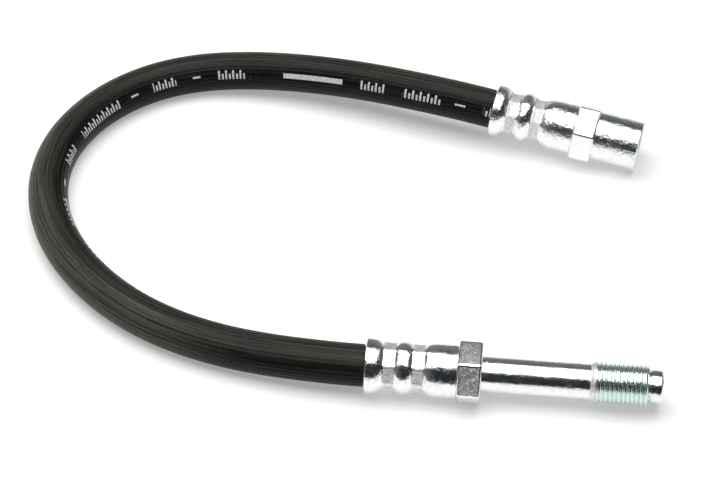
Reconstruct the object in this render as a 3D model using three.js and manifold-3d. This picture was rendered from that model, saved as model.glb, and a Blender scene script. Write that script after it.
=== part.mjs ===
// Brake hose: a thick rubber hose with a crimped female fitting and a crimped male fitting.
// Millimetres, +Z up, lying on the plane z = 0.
// The origin is on that plane, at the middle of the footprint of the two fittings.
// +X runs from the bend of the hose towards the open ends of the fittings, and +Y from
// the male fitting to the female one.

import * as THREE from "three";
import { mergeVertices } from "three/addons/utils/BufferGeometryUtils.js";
import Module from "manifold-3d";

const wasm = await Module();
wasm.setup();

// Hose
const HOSE_OD = 10.5;
const HOSE_BORE = 3.2;

// Clearance between the separate pieces
const PIECE_GAP = 0.3;

// Shell of each fitting, which is crimped onto the hose, measured from its rim
const SHELL_WALL = 1.15;
const SHELL_LENGTH = 22.2;
const SHELL_FLOOR = 2.2;
const RIM_LIP = 0.25;
const RIM_LENGTH = 1.5;
const RIM_CHAMFER = 0.3;

// Two rings of flats pressed by the jaws of the crimping tool
const CRIMP_JAWS = 8;
const CRIMP_DEPTH = 1.2;
const CRIMP_BRINK = 0.3;
const CRIMP_FLAT = 2.4;
const CRIMP_WIDTH = 4.8;
const FEMALE_CRIMPS = [5.1, 11.85];
const MALE_CRIMPS = [5.7, 12.75];
const BULGE_DRAW = 0.2;

// Nipple inside the hose end, with the fluid passage through the whole fitting
const NIPPLE_OD = 4.0;
const NIPPLE_SETBACK = 2.0;
const PASSAGE = 2.4;

// Hexagon for the spanner
const HEX_AF = 14.0;
const HEX_LENGTH = 5.9;
const HEX_CHAMFER = 0.45;

// Female end: a socket whose thread is left plain at its mean diameter
const SOCKET_OD = 13.3;
const SOCKET_LENGTH = 11.8;
const SOCKET_CHAMFER = 0.4;
const PORT_BORE = 8.8;
const PORT_DEPTH = 12.3;
const PORT_CHAMFER = 0.5;
const DRILL_POINT_DEG = 118;

// Male end: a plain stem, a thread left plain at its outer diameter, and a pilot nose
const STEM_OD = 8.9;
const STEM_LENGTH = 27.3;
const THREAD_OD = 10.0;
const THREAD_LENGTH = 13.1;
const THREAD_CHAMFER = 0.6;
const NOSE_OD = 8.2;
const NOSE_LENGTH = 3.1;
const NOSE_CHAMFER = 0.5;

// Where the fittings lie: the middle of each rim, and which way each points.
// The female fitting rests on its hexagon, and dips towards its mouth.
const FEMALE_RIM = [-34.28, 46.86];
const FEMALE_HEADING_DEG = 4.75;
const FEMALE_DIP_DEG = 5;
const MALE_RIM = [-34.12, -50.11];
const MALE_HEADING_DEG = 15.3;

// How far each hexagon and each ring of jaws is rolled about the fitting's axis
const FEMALE_HEX_ROLL_DEG = -5;
const MALE_HEX_ROLL_DEG = 30;
const FEMALE_CRIMP_ROLL_DEG = 14;
const MALE_CRIMP_ROLL_DEG = -2;

// The hose's free route, as x, y and the lift of its axis above a hose that lies flat.
// A straight lead-out leaves each rim first.
const LEAD_OUT = 4.0;
const ROUTE = [
  [-46.0, 46.2, 5.77],
  [-57.9, 46.0, 5.47],
  [-69.9, 46.0, 4.62],
  [-82.1, 45.6, 3.44],
  [-94.2, 44.4, 2.17],
  [-106.0, 41.9, 1.03],
  [-117.0, 37.5, 0.24],
  [-126.4, 30.2, 0.0],
  [-133.4, 20.5, 0.0],
  [-137.7, 9.3, 0.0],
  [-138.9, -2.6, 0.0],
  [-136.9, -14.4, 0.0],
  [-131.9, -25.2, 0.0],
  [-124.5, -34.7, 0.0],
  [-115.3, -42.4, 0.0],
  [-104.9, -48.4, 0.0],
  [-93.7, -52.5, 0.01],
  [-81.8, -54.7, 0.07],
  [-69.8, -55.2, 0.3],
  [-57.8, -54.4, 0.8],
  [-46.0, -52.7, 1.4],
];

// How finely round shapes are cut
const ROUND_SIDES = 36;
const SMALL_SIDES = 24;
const HOSE_SIDES = 12;
const HOSE_BORE_SIDES = 8;
const HOSE_STEPS = 44;

// How far a cutter runs past the face that it opens
const OVERCUT = 1.0;

// Sizes that follow
const hoseRadius = HOSE_OD / 2;
const shellBore = hoseRadius + PIECE_GAP;
const shellRadius = shellBore + SHELL_WALL;
const pocketDepth = SHELL_LENGTH - SHELL_FLOOR;
const hexCorner = HEX_AF / Math.sqrt(3);
const hexEnd = SHELL_LENGTH + HEX_LENGTH;
const socketEnd = hexEnd + SOCKET_LENGTH;
const threadStart = hexEnd + STEM_LENGTH;
const noseStart = threadStart + THREAD_LENGTH;
const noseEnd = noseStart + NOSE_LENGTH;

const rubber = new THREE.MeshStandardMaterial({ color: 0x1d1d1e, roughness: 0.6, metalness: 0.0 });
const zincFemale = new THREE.MeshStandardMaterial({ color: 0xc6cbd0, roughness: 0.25, metalness: 1.0 });
const zincMale = new THREE.MeshStandardMaterial({ color: 0xc2c9ce, roughness: 0.28, metalness: 1.0 });

// A solid for joining and cutting, from a closed geometry.
function solidOf(geometry) {
  const bare = geometry.clone();
  bare.deleteAttribute("normal");
  bare.deleteAttribute("uv");
  const merged = mergeVertices(bare, 1e-4);
  return new wasm.Manifold(
    new wasm.Mesh({
      numProp: 3,
      vertProperties: merged.attributes.position.array,
      triVerts: new Uint32Array(merged.index.array),
    }),
  );
}

// The geometry of a finished solid, with flat shading.
function geometryOf(solid) {
  const mesh = solid.getMesh();
  const geometry = new THREE.BufferGeometry();
  geometry.setAttribute("position", new THREE.BufferAttribute(mesh.vertProperties, 3));
  geometry.setIndex(new THREE.BufferAttribute(mesh.triVerts, 1));
  const flat = geometry.toNonIndexed();
  flat.computeVertexNormals();
  return flat;
}

// A turned solid along +X. Its outline is a list of [distance along, radius],
// which runs along the outside towards +X and is closed along the axis or by itself.
function turned(outline, sides) {
  const points = outline.map(([along, radius]) => new THREE.Vector2(radius, along));
  points.push(points[0].clone());
  return solidOf(new THREE.LatheGeometry(points, sides).rotateZ(-Math.PI / 2));
}

// A round bar or cutter along +X.
function bar(from, to, radius, sides) {
  return turned([[from, 0], [from, radius], [to, radius], [to, 0]], sides);
}

// The cut of one ring of jaws: flat across CRIMP_FLAT, then flaring out past the shell.
// A roll of 0 points an edge between two jaws straight up.
function crimpCut(centre, rollDeg) {
  const toCorner = 1 / Math.cos(Math.PI / CRIMP_JAWS);
  const flat = (shellRadius - CRIMP_DEPTH) * toCorner;
  const brink = (shellRadius - CRIMP_BRINK * CRIMP_DEPTH) * toCorner;
  const clear = (shellRadius + CRIMP_BRINK * CRIMP_DEPTH) * toCorner;
  const outside = (shellRadius + RIM_LIP + OVERCUT) * toCorner;
  const shoulder = (CRIMP_FLAT + CRIMP_WIDTH) / 4;
  const outline = [
    [centre - CRIMP_WIDTH / 2, outside],
    [centre + CRIMP_WIDTH / 2, outside],
    [centre + CRIMP_WIDTH / 2, clear],
    [centre + shoulder, brink],
    [centre + CRIMP_FLAT / 2, flat],
    [centre - CRIMP_FLAT / 2, flat],
    [centre - shoulder, brink],
    [centre - CRIMP_WIDTH / 2, clear],
  ];
  return turned(outline, CRIMP_JAWS).rotate([rollDeg, 0, 0]);
}

// The wall that faces the hose, from the rim to the pocket's floor, as [distance along, radius].
// It is drawn in under each ring of flats, and offset moves all of it in or out.
function gripWall(centres, offset) {
  const wall = [];
  for (const centre of centres) {
    wall.push([centre - CRIMP_WIDTH / 2, shellBore + offset]);
    wall.push([centre - CRIMP_FLAT / 2, shellBore - CRIMP_DEPTH + offset]);
    wall.push([centre + CRIMP_FLAT / 2, shellBore - CRIMP_DEPTH + offset]);
    wall.push([centre + CRIMP_WIDTH / 2, shellBore + offset]);
  }
  return wall;
}

// The outside of the crimped shell, before its flats are pressed.
function shellOutline([first, second]) {
  return [
    [0, 0],
    [0, shellRadius + RIM_LIP - RIM_CHAMFER],
    [RIM_CHAMFER, shellRadius + RIM_LIP],
    [RIM_LENGTH, shellRadius + RIM_LIP],
    [first - CRIMP_WIDTH / 2, shellRadius],
    [(first + second) / 2, shellRadius - BULGE_DRAW],
    [second + CRIMP_WIDTH / 2, shellRadius],
    [SHELL_LENGTH, shellRadius],
  ];
}

// The pocket for the hose end, around the nipple.
function pocket(centres) {
  const nipple = NIPPLE_OD / 2;
  const outline = [
    [-OVERCUT, 0],
    [-OVERCUT, shellBore],
    ...gripWall(centres, 0),
    [pocketDepth, shellBore],
    [pocketDepth, nipple],
    [NIPPLE_SETBACK, nipple],
    [NIPPLE_SETBACK, 0],
  ];
  return turned(outline, ROUND_SIDES);
}

// The hexagon, its corners turned off at both faces. A roll of 0 points a corner straight down.
function hexagon(rollDeg) {
  const prism = new THREE.CylinderGeometry(hexCorner, hexCorner, HEX_LENGTH, 6);
  prism.rotateZ(-Math.PI / 2);
  prism.rotateX(THREE.MathUtils.degToRad(rollDeg));
  prism.translate(SHELL_LENGTH + HEX_LENGTH / 2, 0, 0);
  const fall = Math.tan(Math.PI / 6);
  const blank = [
    [SHELL_LENGTH - OVERCUT, 0],
    [SHELL_LENGTH - OVERCUT, hexCorner - (HEX_CHAMFER + OVERCUT) / fall],
    [SHELL_LENGTH + HEX_CHAMFER, hexCorner],
    [SHELL_LENGTH + HEX_CHAMFER + OVERCUT * fall, hexCorner + OVERCUT],
    [hexEnd - HEX_CHAMFER - OVERCUT * fall, hexCorner + OVERCUT],
    [hexEnd - HEX_CHAMFER, hexCorner],
    [hexEnd + OVERCUT, hexCorner - (HEX_CHAMFER + OVERCUT) / fall],
    [hexEnd + OVERCUT, 0],
  ];
  return solidOf(prism).intersect(turned(blank, ROUND_SIDES));
}

// One fitting, turned from hexagon bar: tail is its outline past the hexagon, and centres
// are the middles of its two rings of crimps.
function fitting(tail, tailEnd, centres, hexRollDeg, crimpRollDeg) {
  const blank = turned([...shellOutline(centres), ...tail], ROUND_SIDES);
  let body = blank.add(hexagon(hexRollDeg)).subtract(pocket(centres));
  for (const centre of centres) {
    body = body.subtract(crimpCut(centre, crimpRollDeg));
  }
  return body.subtract(bar(NIPPLE_SETBACK - OVERCUT, tailEnd + OVERCUT, PASSAGE / 2, SMALL_SIDES));
}

function femaleEnd() {
  const socket = SOCKET_OD / 2;
  const tail = [
    [SHELL_LENGTH, socket],
    [socketEnd - SOCKET_CHAMFER, socket],
    [socketEnd, socket - SOCKET_CHAMFER],
    [socketEnd, 0],
  ];
  const port = PORT_BORE / 2;
  const portFloor = socketEnd - PORT_DEPTH;
  const pointDepth = port / Math.tan(THREE.MathUtils.degToRad(DRILL_POINT_DEG / 2));
  const portCut = [
    [portFloor - pointDepth, 0],
    [portFloor, port],
    [socketEnd - PORT_CHAMFER, port],
    [socketEnd + OVERCUT, port + PORT_CHAMFER + OVERCUT],
    [socketEnd + OVERCUT, 0],
  ];
  const body = fitting(tail, socketEnd, FEMALE_CRIMPS, FEMALE_HEX_ROLL_DEG, FEMALE_CRIMP_ROLL_DEG);
  return body.subtract(turned(portCut, ROUND_SIDES));
}

function maleEnd() {
  const tail = [
    [SHELL_LENGTH, STEM_OD / 2],
    [threadStart, STEM_OD / 2],
    [threadStart + THREAD_CHAMFER, THREAD_OD / 2],
    [noseStart - THREAD_CHAMFER, THREAD_OD / 2],
    [noseStart, NOSE_OD / 2],
    [noseEnd - NOSE_CHAMFER, NOSE_OD / 2],
    [noseEnd, NOSE_OD / 2 - NOSE_CHAMFER],
    [noseEnd, 0],
  ];
  return fitting(tail, noseEnd, MALE_CRIMPS, MALE_HEX_ROLL_DEG, MALE_CRIMP_ROLL_DEG);
}

// Where a fitting lies. The female fitting stands on a corner of its hexagon, at the end
// nearer its mouth, and the male fitting lies on a flat.
function placeOf(rim, height, headingDeg, dipDeg) {
  const heading = new THREE.Matrix4().makeRotationZ(THREE.MathUtils.degToRad(headingDeg));
  const dip = new THREE.Matrix4().makeRotationY(THREE.MathUtils.degToRad(dipDeg));
  return new THREE.Matrix4().makeTranslation(...rim, height).multiply(heading).multiply(dip);
}

const femaleDip = THREE.MathUtils.degToRad(FEMALE_DIP_DEG);
const lowestCorner = hexCorner * Math.cos(THREE.MathUtils.degToRad(FEMALE_HEX_ROLL_DEG));
const femaleHeight = lowestCorner * Math.cos(femaleDip) + (hexEnd - HEX_CHAMFER) * Math.sin(femaleDip);
const femalePlace = placeOf(FEMALE_RIM, femaleHeight, FEMALE_HEADING_DEG, FEMALE_DIP_DEG);
const malePlace = placeOf(MALE_RIM, HEX_AF / 2, MALE_HEADING_DEG, 0);

// The hose's axis, from the floor of one pocket to the floor of the other.
function hoseAxis() {
  const gripEnd = pocketDepth - PIECE_GAP;
  const along = (place, x) => new THREE.Vector3(x, 0, 0).applyMatrix4(place);
  const free = ROUTE.map(([x, y, lift]) => new THREE.Vector3(x, y, hoseRadius + lift));
  return new THREE.CatmullRomCurve3([
    along(femalePlace, gripEnd),
    along(femalePlace, 0),
    along(femalePlace, -LEAD_OUT),
    ...free,
    along(malePlace, -LEAD_OUT),
    along(malePlace, 0),
    along(malePlace, gripEnd),
  ]);
}

// What is taken off one hose end: the rubber that its crimps squeeze and its nipple spreads.
function gripCuts(place, centres) {
  const outside = hoseRadius + OVERCUT;
  const squeezed = gripWall(centres, -PIECE_GAP);
  const perCrimp = squeezed.length / centres.length;
  let cuts = bar(NIPPLE_SETBACK - PIECE_GAP, pocketDepth, NIPPLE_OD / 2 + PIECE_GAP, SMALL_SIDES);
  for (let start = 0; start < squeezed.length; start += perCrimp) {
    const waist = squeezed.slice(start, start + perCrimp);
    const first = [waist[0][0] - PIECE_GAP, outside];
    const last = [waist[perCrimp - 1][0] + PIECE_GAP, outside];
    cuts = cuts.add(turned([first, last, ...waist.reverse()], SMALL_SIDES));
  }
  return cuts.transform(place.elements);
}

function ring(radius, sides) {
  const corners = [];
  for (let i = 0; i < sides; i += 1) {
    const angle = (2 * Math.PI * i) / sides;
    corners.push(new THREE.Vector2(radius * Math.cos(angle), radius * Math.sin(angle)));
  }
  return corners;
}

function hose() {
  const section = new THREE.Shape(ring(hoseRadius, HOSE_SIDES));
  section.holes.push(new THREE.Path(ring(HOSE_BORE / 2, HOSE_BORE_SIDES)));
  const tube = new THREE.ExtrudeGeometry(section, { steps: HOSE_STEPS, extrudePath: hoseAxis() });
  return solidOf(tube)
    .subtract(gripCuts(femalePlace, FEMALE_CRIMPS))
    .subtract(gripCuts(malePlace, MALE_CRIMPS));
}

function piece(name, solid, material, place) {
  const mesh = new THREE.Mesh(geometryOf(solid), material);
  mesh.name = name;
  if (place) {
    mesh.applyMatrix4(place);
  }
  return mesh;
}

const brakeHose = new THREE.Group();
brakeHose.add(piece("hose", hose(), rubber));
brakeHose.add(piece("female_end", femaleEnd(), zincFemale, femalePlace));
brakeHose.add(piece("male_end", maleEnd(), zincMale, malePlace));

export default brakeHose;
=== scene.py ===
"""Brake hose: a ribbed rubber hose with a crimped metal fitting on each end, on a studio table."""

import math

import bpy
from mathutils import Matrix, Vector


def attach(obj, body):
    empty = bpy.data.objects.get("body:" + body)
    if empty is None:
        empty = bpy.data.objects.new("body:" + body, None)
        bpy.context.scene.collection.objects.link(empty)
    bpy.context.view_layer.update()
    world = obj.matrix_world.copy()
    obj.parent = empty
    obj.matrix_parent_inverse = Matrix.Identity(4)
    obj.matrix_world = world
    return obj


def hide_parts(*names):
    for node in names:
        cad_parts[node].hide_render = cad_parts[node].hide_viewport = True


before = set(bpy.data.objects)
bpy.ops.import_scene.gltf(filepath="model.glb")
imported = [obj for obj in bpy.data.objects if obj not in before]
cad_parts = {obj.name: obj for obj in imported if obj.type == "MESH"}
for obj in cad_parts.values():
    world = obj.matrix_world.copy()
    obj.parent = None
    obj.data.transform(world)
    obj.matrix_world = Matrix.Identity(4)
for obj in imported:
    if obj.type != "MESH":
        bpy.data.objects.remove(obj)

bl_info = {
    "name": "Brake hose",
    "version": (1, 0, 0),
    "blender": (4, 5, 0),
    "location": "3D View > Sidebar > Brake hose",
    "description": "Builds a brake hose with its two crimped fittings, and a studio around it",
    "category": "Object",
}

MM = 0.001

# The hose's free route in metres: x, y and the lift of its axis above a hose that lies flat
ROUTE = (
    (-0.046, 0.0462, 0.00577), (-0.0579, 0.046, 0.00547), (-0.0699, 0.046, 0.00462),
    (-0.0821, 0.0456, 0.00344), (-0.0942, 0.0444, 0.00217), (-0.106, 0.0419, 0.00103),
    (-0.117, 0.0375, 0.00024), (-0.1264, 0.0302, 0.0), (-0.1334, 0.0205, 0.0),
    (-0.1377, 0.0093, 0.0), (-0.1389, -0.0026, 0.0), (-0.1369, -0.0144, 0.0),
    (-0.1319, -0.0252, 0.0), (-0.1245, -0.0347, 0.0), (-0.1153, -0.0424, 0.0),
    (-0.1049, -0.0484, 0.0), (-0.0937, -0.0525, 0.00001), (-0.0818, -0.0547, 0.00007),
    (-0.0698, -0.0552, 0.0003), (-0.0578, -0.0544, 0.0008), (-0.046, -0.0527, 0.0014),
)

# The straight run out of each rim, and how far the hose reaches into each shell
LEAD_OUT = 0.004
GRIP_END = 0.0197

# Where the fittings lie: the middle of each rim, then the heading and how far it dips
FEMALE_PLACE = (
    Matrix.Translation((-0.03428, 0.04686, 0.0104314))
    @ Matrix.Rotation(math.radians(4.75), 4, "Z")
    @ Matrix.Rotation(math.radians(5.0), 4, "Y")
)
MALE_PLACE = (
    Matrix.Translation((-0.03412, -0.05011, 0.0070)) @ Matrix.Rotation(math.radians(15.3), 4, "Z")
)


class HoseSettings(bpy.types.PropertyGroup):
    """Sizes and colours of the rubber hose"""

    outer_diameter: bpy.props.FloatProperty(
        name="Outer diameter", description="Diameter over the ribs",
        default=0.0105, unit="LENGTH", precision=5,
    )
    bore: bpy.props.FloatProperty(
        name="Bore", description="Diameter of the passage",
        default=0.0032, unit="LENGTH", precision=5,
    )
    ribs: bpy.props.IntProperty(
        name="Ribs", description="Number of fine ribs around the hose", default=32,
    )
    rib_height: bpy.props.FloatProperty(
        name="Rib height", description="Height of each rib",
        default=0.00009, unit="LENGTH", precision=5,
    )
    rubber_colour: bpy.props.FloatVectorProperty(
        name="Rubber", description="Colour of the rubber",
        default=(0.0018, 0.0020, 0.0026), size=3, subtype="COLOR",
    )
    print_colour: bpy.props.FloatVectorProperty(
        name="Print", description="Colour of the printed marks",
        default=(0.55, 0.56, 0.55), size=3, subtype="COLOR",
    )
    print_angle: bpy.props.FloatProperty(
        name="Print angle", description="Angle of the print above the inner side of the bend",
        default=math.radians(28.0), subtype="ANGLE",
    )


class FittingSettings(bpy.types.PropertyGroup):
    """Sizes and colours of the two fittings"""

    shell_length: bpy.props.FloatProperty(
        name="Shell length", description="From the rim to the hexagon",
        default=0.0222, unit="LENGTH", precision=5,
    )
    jaws: bpy.props.IntProperty(
        name="Jaws", description="Number of flats pressed in each ring", default=8,
    )
    across_flats: bpy.props.FloatProperty(
        name="Across flats", description="Width of the hexagon across its flats",
        default=0.014, unit="LENGTH", precision=5,
    )
    hexagon_length: bpy.props.FloatProperty(
        name="Hexagon length", description="Length of the hexagon",
        default=0.0059, unit="LENGTH", precision=5,
    )
    socket_radius: bpy.props.FloatProperty(
        name="Socket radius", description="Outer radius of the female end's socket",
        default=0.00665, unit="LENGTH", precision=5,
    )
    stem_radius: bpy.props.FloatProperty(
        name="Stem radius", description="Radius of the male end's plain stem",
        default=0.00445, unit="LENGTH", precision=5,
    )
    thread_radius: bpy.props.FloatProperty(
        name="Thread radius", description="Outer radius of the male thread",
        default=0.005, unit="LENGTH", precision=5,
    )
    thread_pitch: bpy.props.FloatProperty(
        name="Thread pitch", description="Distance from one turn to the next",
        default=0.001058, unit="LENGTH", precision=6,
    )
    zinc_colour: bpy.props.FloatVectorProperty(
        name="Zinc", description="Colour of the turned and plated metal",
        default=(0.86, 0.88, 0.90), size=3, subtype="COLOR",
    )
    flats_colour: bpy.props.FloatVectorProperty(
        name="Male flats", description="Colour of the male hexagon's flats",
        default=(0.92, 0.94, 0.93), size=3, subtype="COLOR",
    )
    bright_flats_colour: bpy.props.FloatVectorProperty(
        name="Female flats", description="Colour of the female hexagon's flats",
        default=(0.93, 0.93, 0.92), size=3, subtype="COLOR",
    )


class StageSettings(bpy.types.PropertyGroup):
    """The table, the light above it and the camera"""

    table_size: bpy.props.FloatProperty(
        name="Table size", description="Length of each side of the table",
        default=6.0, unit="LENGTH",
    )
    table_colour: bpy.props.FloatVectorProperty(
        name="Table colour", description="Colour of the table top",
        default=(0.64, 0.635, 0.63), size=3, subtype="COLOR",
    )
    table_glow: bpy.props.FloatProperty(
        name="Table fill", description="Even light of the sheet, which softens the shadows",
        default=0.34,
    )
    softbox_light: bpy.props.FloatProperty(
        name="Softbox", description="Brightness of the soft box overhead", default=4.2,
    )
    lens: bpy.props.FloatProperty(
        name="Lens", description="Focal length of the camera in millimetres", default=121.05,
    )


# Modelling

# Points closer than this are one point, and edges flatter than these angles are shaded smooth
WELD = 0.001 * MM
METAL_SMOOTH = math.radians(32.0)
RUBBER_SMOOTH = math.radians(60.0)


def deselect_all():
    if bpy.context.object and bpy.context.object.mode != "OBJECT":
        bpy.ops.object.mode_set(mode="OBJECT")
    bpy.ops.object.select_all(action="DESELECT")


def make_active(piece):
    deselect_all()
    piece.select_set(True)
    bpy.context.view_layer.objects.active = piece


def edit_all(piece):
    make_active(piece)
    bpy.ops.object.mode_set(mode="EDIT")
    bpy.ops.mesh.select_all(action="SELECT")


def extruded_line(name, points):
    """A single vertex at the first point, extruded from each point to the next."""
    deselect_all()
    bpy.ops.mesh.primitive_plane_add(size=MM, location=(0.0, 0.0, 0.0))
    line = bpy.context.object
    line.name = name
    edit_all(line)
    bpy.ops.mesh.merge(type="CENTER")
    bpy.ops.transform.translate(value=points[0])
    for here, there in zip(points, points[1:]):
        step = Vector(there) - Vector(here)
        bpy.ops.mesh.extrude_region_move(TRANSFORM_OT_translate={"value": step})
    bpy.ops.mesh.select_all(action="SELECT")
    bpy.ops.mesh.remove_doubles(threshold=WELD)
    return line


def turned(name, outline, steps):
    """A closed outline of (along, radius) in millimetres, spun around the X axis."""
    loop = [*outline, outline[0]]
    points = [Vector((along * MM, 0.0, radius * MM)) for along, radius in loop]
    piece = extruded_line(name, points)
    bpy.ops.mesh.select_all(action="SELECT")
    bpy.ops.mesh.spin(
        steps=steps, angle=math.tau, center=(0.0, 0.0, 0.0), axis=(1.0, 0.0, 0.0),
    )
    bpy.ops.mesh.select_all(action="SELECT")
    bpy.ops.mesh.remove_doubles(threshold=WELD)
    bpy.ops.mesh.normals_make_consistent(inside=False)
    bpy.ops.object.mode_set(mode="OBJECT")
    return piece


def rounded(corners, segments=3):
    """The outline with each corner (along, radius, fillet) replaced by a short arc."""
    outline = []
    for index, (along, radius, fillet) in enumerate(corners):
        if fillet <= 0.0:
            outline.append((along, radius))
            continue
        corner = Vector((along, radius))
        before = Vector(corners[index - 1][:2]) - corner
        after = Vector(corners[(index + 1) % len(corners)][:2]) - corner
        start = corner + before.normalized() * fillet
        end = corner + after.normalized() * fillet
        for step in range(segments + 1):
            share = step / segments
            point = start * (1 - share) ** 2 + corner * 2 * share * (1 - share) + end * share ** 2
            outline.append((point.x, point.y))
    return outline


def spaced(start, end, step):
    count = max(1, round(abs(end - start) / step))
    return [start + (end - start) * index / count for index in range(count + 1)]


def boolean(piece, tool, operation):
    make_active(piece)
    modifier = piece.modifiers.new("boolean", "BOOLEAN")
    modifier.operation = operation
    modifier.solver = "MANIFOLD"
    modifier.object = tool
    bpy.ops.object.modifier_apply(modifier=modifier.name)
    bpy.data.objects.remove(tool)
    if not piece.data.polygons:
        raise RuntimeError(f"{piece.name}: the {operation} left nothing")


def settle(piece, place):
    """Leave the piece's object at the origin, with its place in its mesh."""
    piece.matrix_world = place
    make_active(piece)
    bpy.ops.object.transform_apply(location=True, rotation=True, scale=True)
    bpy.ops.object.shade_smooth_by_angle(angle=METAL_SMOOTH)


# Shader nodes

SURFACE_SOCKETS = {"Colour": "Color", "Roughness": "Float", "Height": "Float"}


def feed(tree, socket, value):
    """Set a socket to a number or a colour, or link another socket to it."""
    if isinstance(value, (int, float)):
        socket.default_value = value
    elif isinstance(value, tuple):
        socket.default_value = (*value, 1.0)
    else:
        tree.links.new(value, socket)


def new_material(name):
    material = bpy.data.materials.new(name)
    material.use_nodes = True
    return material, material.node_tree, material.node_tree.nodes["Principled BSDF"]


def math_node(tree, operation, *values):
    node = tree.nodes.new("ShaderNodeMath")
    node.operation = operation
    for socket, value in zip(node.inputs, values):
        feed(tree, socket, value)
    return node.outputs[0]


def times(tree, first, second):
    return math_node(tree, "MULTIPLY", first, second)


def added(tree, total, *shares):
    """The total plus each value times its weight."""
    for value, weight in shares:
        total = math_node(tree, "ADD", total, times(tree, value, weight))
    return total


def most(tree, masks):
    """The largest of the masks."""
    total = masks[0]
    for mask in masks[1:]:
        total = math_node(tree, "MAXIMUM", total, mask)
    return total


def ramp(tree, value, low, high, to_low=0.0, to_high=1.0, kind="LINEAR"):
    """The value carried from low and high to the new low and high, and held there past them."""
    node = tree.nodes.new("ShaderNodeMapRange")
    node.interpolation_type = kind
    limits = {"From Min": low, "From Max": high, "To Min": to_low, "To Max": to_high}
    for name, limit in limits.items():
        node.inputs[name].default_value = limit
    feed(tree, node.inputs["Value"], value)
    return node.outputs["Result"]


def eased(tree, value, low, high, to_low=0.0, to_high=1.0):
    """A ramp that starts and ends softly."""
    return ramp(tree, value, low, high, to_low, to_high, "SMOOTHSTEP")


def near(tree, value, middle, half, soft):
    """1 within half of the middle, falling to 0 over the soft width."""
    away = math_node(tree, "ABSOLUTE", math_node(tree, "SUBTRACT", value, middle))
    return eased(tree, away, half + soft, half)


def within(tree, value, span, soft):
    """1 between the two ends of the span, falling to 0 over the soft width."""
    low, high = span
    return near(tree, value, (low + high) / 2, (high - low) / 2, soft)


def mix_colour(tree, factor, first, second):
    """A colour between two, each a socket or three numbers."""
    node = tree.nodes.new("ShaderNodeMix")
    node.data_type = "RGBA"
    for name, value in (("Factor", factor), ("A", first), ("B", second)):
        feed(tree, node.inputs[name], value)
    return node.outputs["Result"]


def tint(tree, shade, mask, strength, colour):
    """The shade with a colour laid over it where the mask is."""
    return mix_colour(tree, times(tree, mask, strength), shade, colour)


def components(tree, vector):
    node = tree.nodes.new("ShaderNodeSeparateXYZ")
    feed(tree, node.inputs[0], vector)
    return node.outputs


def unrolled(tree, along, around):
    """The hose's surface as a flat sheet, in millimetres."""
    node = tree.nodes.new("ShaderNodeCombineXYZ")
    feed(tree, node.inputs["X"], along)
    feed(tree, node.inputs["Y"], around)
    return node.outputs["Vector"]


def vector_node(tree, operation, vector):
    node = tree.nodes.new("ShaderNodeVectorMath")
    node.operation = operation
    feed(tree, node.inputs[0], vector)
    return node


def local_coordinates(tree, place):
    """Object coordinates turned and moved into a fitting's own frame, in millimetres."""
    coordinates = tree.nodes.new("ShaderNodeTexCoord")
    mapping = tree.nodes.new("ShaderNodeMapping")
    back = place.inverted()
    mapping.inputs["Location"].default_value = back.translation
    mapping.inputs["Rotation"].default_value = back.to_euler()
    feed(tree, mapping.inputs["Vector"], coordinates.outputs["Object"])
    scale = vector_node(tree, "SCALE", mapping.outputs["Vector"])
    scale.inputs["Scale"].default_value = 1.0 / MM
    return scale.outputs["Vector"]


def noise(tree, vector, scale, detail=2.0, roughness=0.5, stretch=None, distortion=0.0):
    """Noise from 0 to 1, finer where the vector is stretched."""
    if stretch:
        stretched = vector_node(tree, "MULTIPLY", vector)
        stretched.inputs[1].default_value = stretch
        vector = stretched.outputs["Vector"]
    node = tree.nodes.new("ShaderNodeTexNoise")
    node.inputs["Scale"].default_value = scale
    node.inputs["Detail"].default_value = detail
    node.inputs["Roughness"].default_value = roughness
    node.inputs["Distortion"].default_value = distortion
    feed(tree, node.inputs["Vector"], vector)
    return node.outputs["Fac"]


def bump(tree, shader, height, depth):
    node = tree.nodes.new("ShaderNodeBump")
    node.inputs["Distance"].default_value = depth
    feed(tree, node.inputs["Height"], height)
    feed(tree, shader.inputs["Normal"], node.outputs["Normal"])


def shared_group(name, takes, gives, fill):
    """The named node group, with its sockets made and its nodes filled in the first time."""
    group = bpy.data.node_groups.get(name)
    if group is None:
        group = bpy.data.node_groups.new(name, "ShaderNodeTree")
        for side, sockets in (("INPUT", takes), ("OUTPUT", gives)):
            for label, kind in sockets.items():
                group.interface.new_socket(
                    name=label, in_out=side, socket_type="NodeSocket" + kind,
                )
        start = group.nodes.new("NodeGroupInput")
        end = group.nodes.new("NodeGroupOutput")
        for label, value in fill(group, start.outputs).items():
            feed(group, end.inputs[label], value)
    return group


def use_group(tree, group, **values):
    node = tree.nodes.new("ShaderNodeGroup")
    node.node_tree = group
    for label, value in values.items():
        feed(tree, node.inputs[label], value)
    return node.outputs


# Fittings

# The crimped shell in millimetres from its rim: half the width of a ring of jaws, where the
# bulge at the rim and the shell's body start to fall towards the jaws, and how round they fall
HALF_JAW = 1.1
RIM_SHOULDER = 1.5
BODY_SHOULDER = 17.0
BULGE_FULLNESS = 0.80
SHOULDER_FULLNESS = 0.93

# The shell's face and bore at the rim, and its outside as (along, radius) up to the hexagon
RIM_FACE = -0.45
SHELL_BORE = 5.42
RIM_CORNERS = ((RIM_FACE, 5.56, 0.05), (0.05, 6.9, 0.07), (0.35, 6.95, 0.0))
SHELL_OUTSIDE = ((0.35, 6.95), (4.2, 6.66), (9.2, 6.55), (14.0, 6.6), (17.0, 6.7), (22.2, 6.7))
PRESSED_END = 17.2
SHELL_END = (22.0, 6.7)
NECK = (22.4, 6.45, 0.0)

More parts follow.
